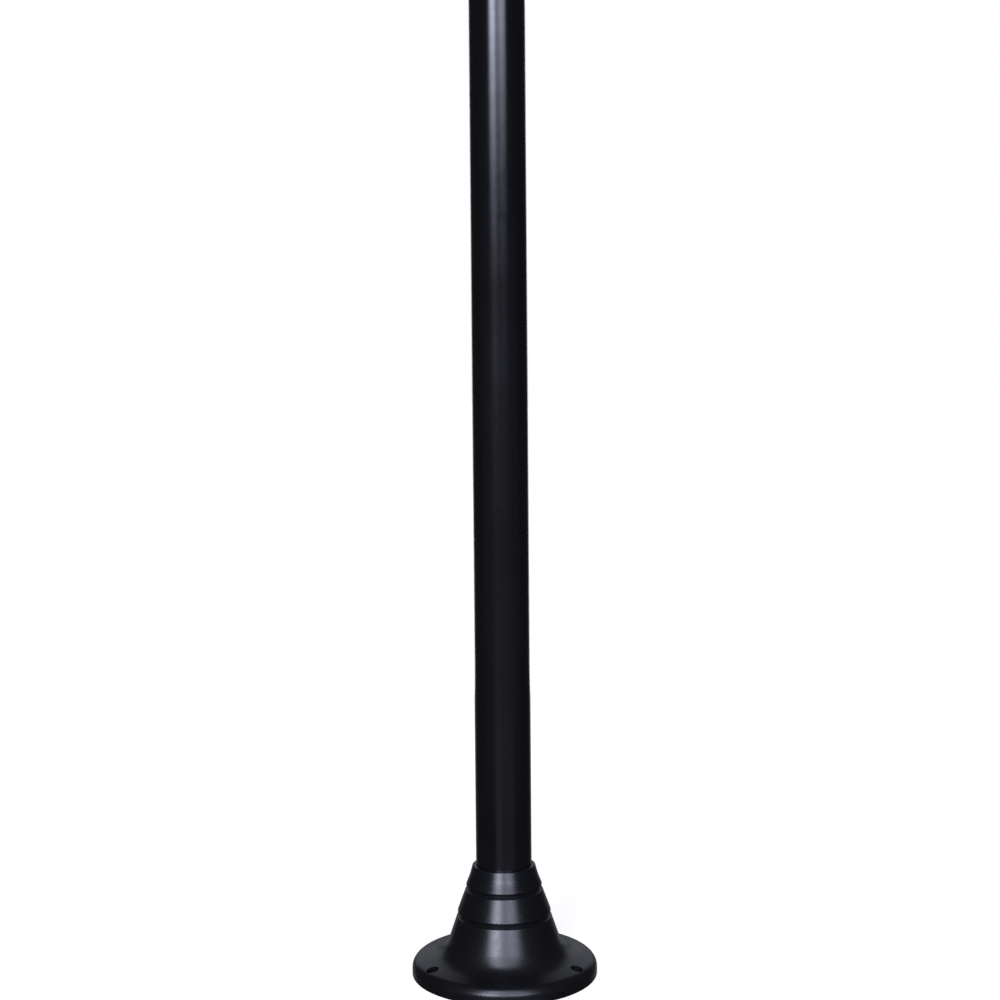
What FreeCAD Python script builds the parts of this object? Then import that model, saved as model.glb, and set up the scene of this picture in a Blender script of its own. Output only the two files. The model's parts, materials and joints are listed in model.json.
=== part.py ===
import FreeCAD, Part

import math
import os

from FreeCAD import Vector

# Double-faced street clock: a bell-shaped base, a round post and a drum head with a dial on each side.
# Own frame: millimetres, origin at ground level on the post's axis, +Z up, the front dial faces -Y.
# The head is drawn in the dial frame: x to the right, y up, z out of the drum towards the viewer of the
# front dial, with its origin at the drum's centre. The rear half is the front half turned about the post.

# ---- driving dimensions -------------------------------------------------------------------------
POST_R = 30.0                 # post tube, outside radius
POST_WALL = 3.0
POST_BOTTOM = 50.0            # the tube stands on the web inside the base casting
POST_TOP = 1700.0

FLANGE_R = 100.0              # base casting
FLANGE_EDGE_Z = 15.5          # height at which the sloping flange top would reach the rim, unrounded
FLANGE_ROUNDING = 10.0
BELL_FOOT_R = 64.6            # where the side of the bell would meet the flange top without its fillet
BELL_FOOT_Z = 23.6
BELL_FILLET = 26.5
BASE_HEIGHT = 119.0
BASE_RIM_R = 33.8
TIER_1_FOOT_R = 41.2          # the two upper tiers widen downwards; a groove parts each from the next
TIER_2_TOP_R = 41.9
TIER_2_FOOT_R = 50.6
TIER_3_TOP_R = 51.3
GROOVE_1_Z = 94.0
GROOVE_2_Z = 65.0
GROOVE_DEPTH = 1.2
WEB_THICKNESS = 8.0
CAVITY_MOUTH_R = 76.0         # hollow underside of the base
TIE_BOLT_R = 6.0              # M12 bolt that ties the post to the base
TIE_WASHER_THICKNESS = 3.0
ANCHOR_CIRCLE_R = 88.0        # three anchor bolt holes for M12
ANCHOR_HOLE_R = 6.5
ANCHOR_ANGLES = (90.0, 210.0, 330.0)

NECK_BOTTOM = 1640.0          # neck casting on top of the post
NECK_FLANGE_R = 75.0
NECK_FLANGE_THICKNESS = 12.0
NECK_TOP = 1780.0
NECK_BOLT_CIRCLE_R = 64.0
NECK_BOLT_ANGLES = (45.0, 135.0, 225.0, 315.0)
GRUB_Z = 1657.0
M8_R = 4.0                    # neck bolts, saddle bolts and set screws
M8_CLEARANCE_R = 4.3
M8_ACROSS_FLATS = 13.0
M8_HEAD = 5.5
M4_R = 2.0                    # small screws
M4_CLEARANCE_R = 2.2

DRUM_CENTRE_Z = 2010.0        # drum case
DRUM_R = 210.0
DRUM_WALL = 3.0
DRUM_HALF_DEPTH = 60.0
CASE_MOUTH_R = 196.0          # clear opening inside the case flange
SADDLE_HALF_DEPTH = 56.0
SADDLE_BOLT_X = 45.0
SADDLE_BOLT_Z = 30.0
SADDLE_BOLT_TIP_Z = 1788.0
FINIAL_SEAT = 2236.0
FINIAL_STUD_R = 5.0
FINIAL_STUD_TOP = 2256.0
FOOT_FACE_Y = 190.0           # flat inner faces of the centre frame's feet
FRAME_HALF_THICKNESS = 3.0
FRAME_HALF_WIDTH = 45.0

DIAL_R = 192.0                # dials
DIAL_BACK = 46.0
DIAL_THICKNESS = 2.0
DIAL_SCREW_CIRCLE_R = 186.0

DOOR_BACK = 62.0              # glazed bezel doors
DOOR_R = 214.0
DOOR_FRONT = 88.0
DOOR_FACE = 84.0
DOOR_WEB_BACK = 72.0
SIGHT_R = 168.0               # clear view of the dial
GLASS_R = 174.0
GLASS_BACK = 74.0
GLASS_THICKNESS = 4.0
GLASS_GASKET = 1.2
CLIP_CIRCLE_R = 181.0
CLIP_THICKNESS = 1.5

HINGE_X = -224.0              # hinge axis, upright
HINGE_Z = 62.0
KNUCKLE_R = 7.0
PIN_R = 3.0
DOOR_KNUCKLE_HALF = 20.0
BRACKET_HALF = 50.0
HINGE_SCREW_Y = 36.0
HINGE_SCREW_Z = 33.0

LATCH_X = 187.0               # quarter-turn latch on the other side
LATCH_SHAFT_R = 4.0
LATCH_CAM_BACK = 52.5
LATCH_BOSS_BACK = 64.0
GRIP_BACK = 89.5              # the grip turns clear of the bezel's raised rim
GRIP_FRONT = 98.5
GRIP_HALF_WIDTH = 4.5

PLATE_BACK = 28.0             # movement
PLATE_THICKNESS = 3.0
PILLAR_X = 38.0
PILLAR_Y = 54.0
BATTERY_R = 7.2               # one AA cell in each movement
BATTERY_TOP = 11.0
BATTERY_X = 20.0
BATTERY_Z = 16.0
BUSH_R = 5.0
ARBOR_R = 3.0
ARBOR_THREAD_R = 2.5
ARBOR_END = 66.0
HOUR_PIPE_R = 5.0
STUD_R = 2.5
GEAR_MODULE = 1.0
MINUTE_PINION_TEETH = 15
MOTION_WHEEL_TEETH = 45
MOTION_PINION_TEETH = 12
HOUR_WHEEL_TEETH = 48
GEAR_CENTRES = GEAR_MODULE * (MINUTE_PINION_TEETH + MOTION_WHEEL_TEETH) / 2
WHEEL_BACK = 34.0
WHEEL_THICKNESS = 3.0
HOUR_WHEEL_BACK = 39.0
MOTION_PINION_FRONT = 43.0
ADDENDUM = 0.8
DEDENDUM = 1.1
TOOTH_SHARE = 0.42            # tooth thickness over the circular pitch, the rest is gap and backlash
FLANK_ANGLE = 22.0

MINUTE_HAND_LENGTH = 150.0
HOUR_HAND_LENGTH = 104.0
HAND_THICKNESS = 2.0
MINUTE_HAND_ANGLE = 60.0      # ten minutes past ten, clockwise from twelve
HOUR_HAND_ANGLE = 305.0
HOUR_HAND_BACK = 53.0
MINUTE_HAND_BACK = 59.0
ARBOR_SHOULDER = 62.0

RUNNING = 0.05                # radial clearance of running fits
GAP = 0.3                     # gap between faces of pieces that move past each other

OUT = Vector(0, 0, 1)         # towards the viewer in the dial frame
UP = Vector(0, 1, 0)          # upright in the dial frame


# ---- drawing helpers ----------------------------------------------------------------------------
def outline(corners, second_axis):
    """Closed wire through (x, v) or (x, v, radius) corners, v along second_axis, rounded where asked."""
    points = [Vector(c[0], 0, 0) + second_axis * c[1] for c in corners]
    radii = [c[2] if len(c) > 2 else 0.0 for c in corners]
    edges = []
    first = last = None
    for i, (corner, radius) in enumerate(zip(points, radii)):
        back = (points[i - 1] - corner).normalize()
        ahead = (points[(i + 1) % len(points)] - corner).normalize()
        start = end = corner
        arc = None
        if radius:
            half = back.getAngle(ahead) / 2
            start = corner + back * (radius / math.tan(half))
            end = corner + ahead * (radius / math.tan(half))
            middle = corner + (back + ahead).normalize() * (radius / math.sin(half) - radius)
            arc = Part.Arc(start, middle, end).toShape()
        if last is None:
            first = start
        elif (start - last).Length > 1e-6:
            edges.append(Part.LineSegment(last, start).toShape())
        if arc:
            edges.append(arc)
        last = end
    if (first - last).Length > 1e-6:
        edges.append(Part.LineSegment(last, first).toShape())
    return Part.Wire(edges)


def turned(corners):
    """Solid of revolution about +Z from an outline of (radius, height) corners."""
    return Part.Face(outline(corners, OUT)).revolve(Vector(0, 0, 0), OUT, 360)


def plate(corners, low, high):
    """Flat plate between two heights from an outline of (x, y) corners."""
    face = Part.Face(outline(corners, UP))
    face.translate(OUT * low)
    return face.extrude(OUT * (high - low))


def rod(radius, low, high, x=0.0, y=0.0):
    return Part.makeCylinder(radius, high - low, Vector(x, y, low))


def upright_rod(radius, low, high, x=0.0, z=0.0):
    """Rod along +Y of the dial frame."""
    return Part.makeCylinder(radius, high - low, Vector(x, low, z), UP)


def side_rod(radius, start, length, y=0.0, z=0.0):
    """Rod along X from start, towards -X where the length is negative."""
    return Part.makeCylinder(radius, abs(length), Vector(start, y, z), Vector(math.copysign(1, length), 0, 0))


def ring(inner, outer, low, high):
    return rod(outer, low, high).cut(rod(inner, low - 1, high + 1))


def block(x0, x1, y0, y1, z0, z1):
    return Part.makeBox(x1 - x0, y1 - y0, z1 - z0, Vector(x0, y0, z0))


def hexagon(across_flats, low, high, x=0.0, y=0.0):
    corner_r = across_flats / math.sqrt(3)
    points = [Vector(x + corner_r * math.cos(k * math.pi / 3), y + corner_r * math.sin(k * math.pi / 3), low)
              for k in range(7)]
    return Part.Face(Part.makePolygon(points)).extrude(Vector(0, 0, high - low))


def screw(shank_r, head_r, tip, seat, head_height, x=0.0, y=0.0):
    """Pan-head screw along +Z with its head on the seat plane and a cross slot in the head."""
    head = rod(head_r, seat, seat + head_height, x, y)
    edge = [e for e in head.Edges if e.Curve.TypeId == "Part::GeomCircle" and e.CenterOfMass.z > seat + 0.1]
    head = head.makeFillet(head_height * 0.4, edge)
    slot_depth = head_height * 0.5
    for half_x, half_y in ((head_r * 0.6, 0.5), (0.5, head_r * 0.6)):
        slot = block(x - half_x, x + half_x, y - half_y, y + half_y, seat + head_height - slot_depth,
                     seat + head_height + 1)
        head = head.cut(slot)
    return head.fuse(rod(shank_r, tip, seat, x, y))


def turn(shape, angle, axis=OUT):
    copy = shape.copy()
    copy.rotate(Vector(0, 0, 0), axis, angle)
    return copy


def around(shape, count, first=0.0):
    """The same shape spaced evenly around +Z."""
    return [turn(shape, first + 360.0 / count * k) for k in range(count)]


def cut_all(shape, tools):
    for tool in tools:
        shape = shape.cut(tool)
    return shape


def in_front(shape):
    """From the dial frame to the front face of the drum."""
    copy = shape.copy()
    copy.rotate(Vector(0, 0, 0), Vector(1, 0, 0), 90)
    copy.translate(Vector(0, 0, DRUM_CENTRE_Z))
    return copy


def in_rear(shape):
    """The same piece on the rear face: the front one turned half a turn about the post."""
    return turn(in_front(shape), 180)


def write(name, solids):
    solids = solids if isinstance(solids, list) else [solids]
    shape = solids[0] if len(solids) == 1 else Part.makeCompound(solids)
    shape.exportStep("parts/" + name + ".step")


def write_pair(name, shapes):
    """One node for each face of the clock; a list of identical pieces stays one node a face."""
    shapes = shapes if isinstance(shapes, list) else [shapes]
    write(name + "_front", [in_front(s) for s in shapes])
    write(name + "_rear", [in_rear(s) for s in shapes])


def write_both(name, shapes):
    """One node that holds the front and the rear pieces."""
    write(name, [in_front(s) for s in shapes] + [in_rear(s) for s in shapes])


# ---- base and post ------------------------------------------------------------------------------
def groove(foot_r, next_top_r, height):
    """Corners of the groove under a tier: the tier's foot rolls in, the next tier starts sharper."""
    bottom_r = foot_r - GROOVE_DEPTH
    return [(foot_r, height + 3.0, 2.8), (bottom_r, height + 1.2), (bottom_r, height - 1.3),
            (next_top_r, height - 2.4, 0.9)]


def anchor_hole(angle):
    """Upright through hole in the flange."""
    x = ANCHOR_CIRCLE_R * math.cos(math.radians(angle))
    y = ANCHOR_CIRCLE_R * math.sin(math.radians(angle))
    return rod(ANCHOR_HOLE_R, -1, BELL_FOOT_Z, x, y)


def base_casting():
    """Bell-shaped casting: two stepped tiers, a flared skirt and a round bolting flange."""
    web_top = POST_BOTTOM
    web_bottom = web_top - WEB_THICKNESS
    waist = (36.9, 107.4, 60.0)
    outside = [(POST_R, BASE_HEIGHT, 1.0), (BASE_RIM_R, BASE_HEIGHT, 1.8), waist]
    outside += groove(TIER_1_FOOT_R, TIER_2_TOP_R, GROOVE_1_Z)
    outside += groove(TIER_2_FOOT_R, TIER_3_TOP_R, GROOVE_2_Z)
    outside += [(BELL_FOOT_R, BELL_FOOT_Z, BELL_FILLET), (FLANGE_R, FLANGE_EDGE_Z, FLANGE_ROUNDING),
                (FLANGE_R, 0, 0.8)]
    bolt_bore_r = TIE_BOLT_R + 0.5
    hollow = [(CAVITY_MOUTH_R, 0, 1.0), (CAVITY_MOUTH_R, 7.0, 3.0), (58.0, 14.0, 9.0),
              (45.0, web_bottom, 5.0), (bolt_bore_r, web_bottom), (bolt_bore_r, web_top)]
    body = turned([(POST_R, web_top)] + outside + hollow)
    return cut_all(body, [anchor_hole(angle) for angle in ANCHOR_ANGLES])


def post_tube():
    return ring(POST_R - POST_WALL, POST_R, POST_BOTTOM, POST_TOP)


def post_foot_plug():
    """Steel disc welded into the lower end of the tube, tapped for the tie bolt."""
    return ring(TIE_BOLT_R, POST_R - POST_WALL, POST_BOTTOM, POST_BOTTOM + 12)


def tie_washer():
    seat = POST_BOTTOM - WEB_THICKNESS
    return ring(TIE_BOLT_R + 0.5, 17.0, seat - TIE_WASHER_THICKNESS, seat)


def tie_bolt():
    """M12 bolt that draws the post down into the base from below."""
    seat = POST_BOTTOM - WEB_THICKNESS - TIE_WASHER_THICKNESS
    return hexagon(19.0, seat - 7.5, seat).fuse(rod(TIE_BOLT_R, seat, POST_BOTTOM + 20))


# ---- neck and saddle ----------------------------------------------------------------------------
def neck_bolt_places():
    angles = [math.radians(a) for a in NECK_BOLT_ANGLES]
    return [(NECK_BOLT_CIRCLE_R * math.cos(a), NECK_BOLT_CIRCLE_R * math.sin(a)) for a in angles]


def neck_casting():
    """Socket over the top of the post, ringed twice, then flared to a bolting flange."""
    flange_bottom = NECK_TOP - NECK_FLANGE_THICKNESS
    socket_r = 37.0
    ring_1 = [(39.5, 1675.5), (39.5, 1678.5), (36.5, 1680.0, 1.2)]
    ring_2 = [(41.5, 1707.5), (41.5, 1710.5), (39.5, 1712.0, 1.2)]
    body = turned(
        [(POST_R, NECK_BOTTOM), (socket_r, NECK_BOTTOM, 2.5), (socket_r, 1674.0, 1.5)] + ring_1
        + [(39.0, 1706.0, 1.5)] + ring_2
        + [(43.0, flange_bottom - 6, 22.0), (54.0, flange_bottom), (NECK_FLANGE_R, flange_bottom, 2.0),
           (NECK_FLANGE_R, NECK_TOP, 2.0), (0, NECK_TOP), (0, flange_bottom), (32.0, flange_bottom, 4.0),
           (POST_R - POST_WALL, POST_TOP), (POST_R, POST_TOP)])
    bolt_holes = [rod(M8_CLEARANCE_R, flange_bottom - 1, NECK_TOP + 1, x, y) for x, y in neck_bolt_places()]
    grub_hole = side_rod(M8_R, POST_R - 1, 20.0, 0, GRUB_Z)
    return cut_all(body, bolt_holes + around(grub_hole, 3, 30.0))


def grub_screws():
    """M8 socket set screws that lock the neck casting to the post."""
    socket = hexagon(4.0, 0, 4.0)
    socket.rotate(Vector(0, 0, 0), UP, 90)
    socket.translate(Vector(POST_R + 3.0, 0, GRUB_Z))
    return around(side_rod(M8_R, POST_R, 6.6, 0, GRUB_Z).cut(socket), 3, 30.0)


def neck_bolts():
    seat = NECK_TOP - NECK_FLANGE_THICKNESS
    return [hexagon(M8_ACROSS_FLATS, seat - M8_HEAD, seat, x, y).fuse(rod(M8_R, seat, NECK_TOP + 10, x, y))
            for x, y in neck_bolt_places()]


def saddle_bolt_places():
    return [(x, y) for x in (-SADDLE_BOLT_X, SADDLE_BOLT_X) for y in (-SADDLE_BOLT_Z, SADDLE_BOLT_Z)]


def drum_outside():
    return Part.makeCylinder(DRUM_R, 400, Vector(0, -200, DRUM_CENTRE_Z), UP)


def case_saddle():
    """Casting between the neck's flange and the round underside of the drum."""
    waist_r = 68.0
    body = turned([(0, NECK_TOP), (NECK_FLANGE_R, NECK_TOP, 1.5), (NECK_FLANGE_R, 1796.0, 3.0),
                   (waist_r, 1800.0, 3.0), (waist_r, 1830.0), (0, 1830.0)])
    between_bezels = block(-80, 80, -SADDLE_HALF_DEPTH, SADDLE_HALF_DEPTH, 1700, 1900)
    body = body.common(between_bezels).cut(drum_outside())
    holes = [rod(M8_R, NECK_TOP - 1, NECK_TOP + 10, x, y) for x, y in neck_bolt_places()]
    holes += [rod(M8_R, SADDLE_BOLT_TIP_Z, 1850, x, y) for x, y in saddle_bolt_places()]
    return cut_all(body, holes)


def saddle_bolts():
    """M8 bolts from inside the drum, through the frame's foot and the shell into the saddle."""
    seat = DRUM_CENTRE_Z - FOOT_FACE_Y
    top = seat + M8_HEAD
    return [hexagon(M8_ACROSS_FLATS, seat, top, x, y).fuse(rod(M8_R, SADDLE_BOLT_TIP_Z, seat, x, y))
            for x, y in saddle_bolt_places()]


# ---- finial -------------------------------------------------------------------------------------
def finial_saddle():
    """Stepped seat on top of the drum, bored for the stud."""
    bore_r = FINIAL_STUD_R + 0.3
    body = turned([(bore_r, 2200.0), (44.0, 2200.0), (44.0, 2224.0, 2.5), (31.0, 2228.0, 3.0),
                   (22.0, FINIAL_SEAT, 2.0), (bore_r, FINIAL_SEAT)])
    return body.cut(drum_outside())


def finial_spire():
    """Turned ball and spike, tapped from below for the stud."""
    ball_r, ball_z = 19.0, 2266.0
    collar = turned([(0, FINIAL_SEAT), (17.0, FINIAL_SEAT, 1.5), (17.0, 2241.0, 2.0), (10.0, 2244.0, 2.5),
                     (10.0, 2252.0), (0, 2252.0)])
    spike = turned([(0, 2276.0), (9.0, 2276.0), (9.0, 2286.0, 2.0), (12.0, 2288.5, 0.8), (9.0, 2291.0, 2.0),
                    (1.5, 2340.0, 1.2), (0, 2340.0)])
    body = Part.makeSphere(ball_r, Vector(0, 0, ball_z)).fuse([collar, spike])
    return body.cut(rod(FINIAL_STUD_R, FINIAL_SEAT - 1, FINIAL_STUD_TOP)).removeSplitter()


def finial_stud():
    return rod(FINIAL_STUD_R, DRUM_CENTRE_Z + FOOT_FACE_Y - 11, FINIAL_STUD_TOP)


def finial_nut():
    seat = DRUM_CENTRE_Z + FOOT_FACE_Y
    return hexagon(17.0, seat - 8, seat).cut(rod(FINIAL_STUD_R, seat - 9, seat + 1))


# ---- drum case ----------------------------------------------------------------------------------
def drum_bolt_holes():
    """Upright holes through the foot of the drum for the saddle bolts and through its top for the stud."""
    holes = [upright_rod(M8_CLEARANCE_R, -230, -150, x, z) for x, z in saddle_bolt_places()]
    return holes + [upright_rod(FINIAL_STUD_R + 0.3, 150, 230)]


def hinge_screw_holes(radius, length):
    """Sideways holes from inside the drum towards the hinge bracket."""
    start = -DRUM_R + 12
    return [side_rod(radius, start, -length, y, HINGE_SCREW_Z) for y in (-HINGE_SCREW_Y, HINGE_SCREW_Y)]


def case_shell():
    """Rolled drum with an inward flange around each mouth, one piece for both faces."""
    inside = DRUM_R - DRUM_WALL
    depth = DRUM_HALF_DEPTH
    flange = depth - DRUM_WALL
    body = turned([(inside, -flange), (CASE_MOUTH_R, -flange), (CASE_MOUTH_R, -depth), (DRUM_R, -depth, 1.2),
                   (DRUM_R, depth, 1.2), (CASE_MOUTH_R, depth), (CASE_MOUTH_R, flange), (inside, flange)])
    front_holes = hinge_screw_holes(M4_CLEARANCE_R, 14.0)
    rear_holes = [turn(h, 180, UP) for h in front_holes]
    return cut_all(body, drum_bolt_holes() + front_holes + rear_holes)


def centre_frame():
    """Upright plate across the drum with a foot at each end; it carries both movements."""
    inside = rod(DRUM_R - DRUM_WALL, -DRUM_HALF_DEPTH, DRUM_HALF_DEPTH)
    lower_foot = block(-62, 62, -DRUM_R, -FOOT_FACE_Y, -42, 42).common(inside)
    upper_foot = block(-32, 32, FOOT_FACE_Y, DRUM_R, -25, 25).common(inside)
    upright = block(-FRAME_HALF_WIDTH, FRAME_HALF_WIDTH, -FOOT_FACE_Y - 1, FOOT_FACE_Y + 1,
                    -FRAME_HALF_THICKNESS, FRAME_HALF_THICKNESS)
    nut_window = block(-18, 18, 160, FOOT_FACE_Y, -10, 10)
    lightening = [rod(22.0, -10, 10, 0, y) for y in (-140, -95, 95)]
    body = upright.fuse([lower_foot, upper_foot]).removeSplitter()
    return cut_all(body, [nut_window] + lightening + drum_bolt_holes())


def dial_ring():
    """Ledge welded inside the drum that the dial is screwed to."""
    body = ring(180.0, DRUM_R - DRUM_WALL, DIAL_BACK - 3, DIAL_BACK)
    return cut_all(body, around(rod(M4_R, 0, 60, DIAL_SCREW_CIRCLE_R), 6, 30.0))


def dial():
    body = ring(6.0, DIAL_R, DIAL_BACK, DIAL_BACK + DIAL_THICKNESS)
    return cut_all(body, around(rod(M4_CLEARANCE_R, 0, 60, DIAL_SCREW_CIRCLE_R), 6, 30.0))


def dial_screws():
    seat = DIAL_BACK + DIAL_THICKNESS
    return around(screw(M4_R, 4.0, DIAL_BACK - 5, seat, 2.0, DIAL_SCREW_CIRCLE_R), 6, 30.0)


def door_gasket():
    """Rubber ring on the mouth of the case that the closed door meets."""
    return ring(205.5, 209.3, DRUM_HALF_DEPTH, DOOR_BACK - GAP)


# ---- hinge --------------------------------------------------------------------------------------
def hinge_bracket():
    """Block bolted to the drum's side, rounded at its back, with a knuckle at each end."""
    left, right = HINGE_X - KNUCKLE_R, HINGE_X + KNUCKLE_R
    inner = DOOR_KNUCKLE_HALF + GAP
    inside, back, block_top, front = -190.0, 24.0, 54.4, HINGE_Z + KNUCKLE_R
    side_view = outline([(inside, back), (left, back, 14.0), (left, block_top), (inside, block_top)], OUT)
    body = Part.Face(side_view).extrude(UP * (2 * BRACKET_HALF))
    body.translate(UP * -BRACKET_HALF)
    for low, high in ((-BRACKET_HALF, -inner), (inner, BRACKET_HALF)):
        body = body.fuse(upright_rod(KNUCKLE_R, low, high, HINGE_X, HINGE_Z))
        body = body.fuse(block(left, right, low, high, block_top, HINGE_Z))
    front_view = [(inside, -BRACKET_HALF), (left, -BRACKET_HALF, 3.0), (left, BRACKET_HALF, 3.0),
                  (inside, BRACKET_HALF)]
    body = body.common(plate(front_view, back, front)).cut(rod(DRUM_R, -100, 100)).removeSplitter()
    pin_bore = upright_rod(PIN_R, -80, 80, HINGE_X, HINGE_Z)
    return cut_all(body, [pin_bore] + hinge_screw_holes(M4_R, 23.0))


def hinge_pin():
    """Pin with a flat head on top and its other end just proud of the lower knuckle."""
    shank = upright_rod(PIN_R, -BRACKET_HALF - 2, BRACKET_HALF, HINGE_X, HINGE_Z)
    return shank.fuse(upright_rod(5.0, BRACKET_HALF, BRACKET_HALF + 3, HINGE_X, HINGE_Z))


def hinge_screws():
    """Screws from inside the drum that hold the hinge bracket."""
    head_r, length = 4.0, 16.0
    pieces = []
    for y in (-HINGE_SCREW_Y, HINGE_SCREW_Y):
        seat = math.sqrt((DRUM_R - DRUM_WALL) ** 2 - (HINGE_SCREW_Y + head_r) ** 2)
        piece = screw(M4_R, head_r, 0.0, length, 2.0)
        piece.rotate(Vector(0, 0, 0), UP, 90)
        piece.translate(Vector(-seat - length, y, HINGE_SCREW_Z))
        pieces.append(piece)
    return pieces


# ---- bezel door ---------------------------------------------------------------------------------
def bezel():
    """Cast ring door: rim, stepped face, rebate for the glass, hinge lug and latch boss."""
    lip_back = GLASS_BACK + GLASS_THICKNESS + GLASS_GASKET
    rim_inside = 204.0
    rebate_r = GLASS_R + 0.5
    body = turned([
        (rim_inside, DOOR_BACK), (DOOR_R, DOOR_BACK, 1.0), (DOOR_R, DOOR_FRONT, 6.0),
        (201.0, DOOR_FRONT, 3.5), (197.0, DOOR_FACE, 2.0), (181.0, DOOR_FACE, 5.0),
        (SIGHT_R, lip_back + 1.4, 0.5), (SIGHT_R, lip_back), (rebate_r, lip_back),
        (rebate_r, DOOR_WEB_BACK), (rim_inside, DOOR_WEB_BACK, 3.0)])
    lug = block(HINGE_X, -206.0, -DOOR_KNUCKLE_HALF, DOOR_KNUCKLE_HALF, HINGE_Z, HINGE_Z + 12)
    knuckle = upright_rod(KNUCKLE_R, -DOOR_KNUCKLE_HALF, DOOR_KNUCKLE_HALF, HINGE_X, HINGE_Z)
    latch_boss = rod(9.0, LATCH_BOSS_BACK, DOOR_WEB_BACK, LATCH_X)
    body = body.fuse([lug, knuckle, latch_boss]).removeSplitter()
    holes = [upright_rod(PIN_R + RUNNING, -80, 80, HINGE_X, HINGE_Z)]
    holes.append(rod(LATCH_SHAFT_R + RUNNING, 50, 100, LATCH_X))
    holes += around(rod(M4_R, DOOR_WEB_BACK - 1, 79.0, CLIP_CIRCLE_R), 6, 30.0)
    return cut_all(body, holes)


def glass():
    return rod(GLASS_R, GLASS_BACK, GLASS_BACK + GLASS_THICKNESS)


def glass_gasket():
    front = GLASS_BACK + GLASS_THICKNESS
    return ring(SIGHT_R + 0.2, GLASS_R, front, front + GLASS_GASKET)


def glass_clips():
    """Small cranked clips screwed behind the bezel that hold the glass in its rebate."""
    strip = block(169.0, 188.0, -6, 6, DOOR_WEB_BACK - CLIP_THICKNESS, DOOR_WEB_BACK)
    pad = block(169.0, GLASS_R - 0.5, -6, 6, DOOR_WEB_BACK, GLASS_BACK)
    clip = strip.fuse(pad).removeSplitter().cut(rod(M4_CLEARANCE_R, 60, 80, CLIP_CIRCLE_R))
    return around(clip, 6, 30.0)


def clip_screws():
    piece = screw(M4_R, 4.0, -8.0, 0.0, 2.0)
    piece.rotate(Vector(0, 0, 0), Vector(1, 0, 0), 180)
    piece.translate(Vector(CLIP_CIRCLE_R, 0, DOOR_WEB_BACK - CLIP_THICKNESS))
    return around(piece, 6, 30.0)


def latch_handle():
    """Shaft with a collar and a T-shaped grip that stands upright while the door is unlocked."""
    shaft = rod(LATCH_SHAFT_R, LATCH_CAM_BACK, GRIP_BACK + 1)
    seat, top = DOOR_FACE + GAP, 87.5
    collar = turned([(0, seat), (8.5, seat, 0.8), (7.5, top, 0.8), (0, top)])
    grip = outline([(-17.0, GRIP_BACK, 2.0), (17.0, GRIP_BACK, 2.0), (15.0, GRIP_FRONT, 4.0),
                    (-15.0, GRIP_FRONT, 4.0)], OUT)
    grip = Part.Face(grip).extrude(UP * (2 * GRIP_HALF_WIDTH))
    grip.translate(UP * -GRIP_HALF_WIDTH)
    body = shaft.fuse([collar, turn(grip, 90)]).removeSplitter()
    body.translate(Vector(LATCH_X, 0, 0))
    return body


def latch_cam():
    """Cam plate and its spacer sleeve on the shaft; a quarter turn takes it behind the case flange."""
    cam_top = LATCH_CAM_BACK + 3.0
    half, reach = 7.0, 16.5
    blade = plate([(-half, -half, 3.0), (half, -half, 3.0), (half, reach, 3.0), (-half, reach, 3.0)],
                  LATCH_CAM_BACK, cam_top)
    sleeve = rod(6.0, cam_top - 0.5, LATCH_BOSS_BACK - GAP)
    body = blade.fuse(sleeve).cut(rod(LATCH_SHAFT_R, 40, 80))
    body.translate(Vector(LATCH_X, 0, 0))
    return body


# ---- movement -----------------------------------------------------------------------------------
def movement_box():
    """Battery-driven movement in its moulded housing, with a socket for the minute arbor."""
    body = block(-32, 32, -40, 40, 4.0, PLATE_BACK)
    upright = [e for e in body.Edges if abs(e.tangentAt(e.FirstParameter).z) > 0.9]
    body = body.makeFillet(5.0, upright)
    socket = rod(ARBOR_R + 2 * RUNNING, 16.0, PLATE_BACK + 1)
    battery_bay = upright_rod(BATTERY_R + 0.2, -41, BATTERY_TOP + 2, BATTERY_X, BATTERY_Z)
    return cut_all(body, [socket, battery_bay])


def battery():
    """AA cell with its raised terminal."""
    cell = upright_rod(BATTERY_R, BATTERY_TOP - 49.0, BATTERY_TOP, BATTERY_X, BATTERY_Z)
    return cell.fuse(upright_rod(2.7, BATTERY_TOP, BATTERY_TOP + 1.5, BATTERY_X, BATTERY_Z))


def movement_plate():
    half_width, half_height, corner = 52.0, 62.0, 10.0
    body = plate([(-half_width, -half_height, corner), (half_width, -half_height, corner),
                  (half_width, half_height, corner), (-half_width, half_height, corner)],
                 PLATE_BACK, PLATE_BACK + PLATE_THICKNESS)
    holes = [rod(BUSH_R, 0, 60), rod(STUD_R, 0, 60, 0, -GEAR_CENTRES)]
    holes += [rod(M4_CLEARANCE_R, 0, 60, x, y) for x, y in pillar_places()]
    return cut_all(body, holes)


def pillar_places():
    return [(x, y) for x in (-PILLAR_X, PILLAR_X) for y in (-PILLAR_Y, PILLAR_Y)]


def movement_pillars():
    return [ring(M4_R, 5.0, FRAME_HALF_THICKNESS, PLATE_BACK).translate(Vector(x, y, 0))
            for x, y in pillar_places()]


def movement_screws():
    seat = PLATE_BACK + PLATE_THICKNESS
    return [screw(M4_R, 3.8, PLATE_BACK - 9, seat, 2.0, x, y) for x, y in pillar_places()]


def centre_bush():
    """Threaded brass bush that holds the movement to the plate; the minute arbor runs in it."""
    seat = PLATE_BACK + PLATE_THICKNESS
    body = hexagon(14.0, seat, seat + 1.8).fuse(rod(BUSH_R, PLATE_BACK, seat))
    return body.cut(rod(ARBOR_R + RUNNING, 0, 60))


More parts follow.
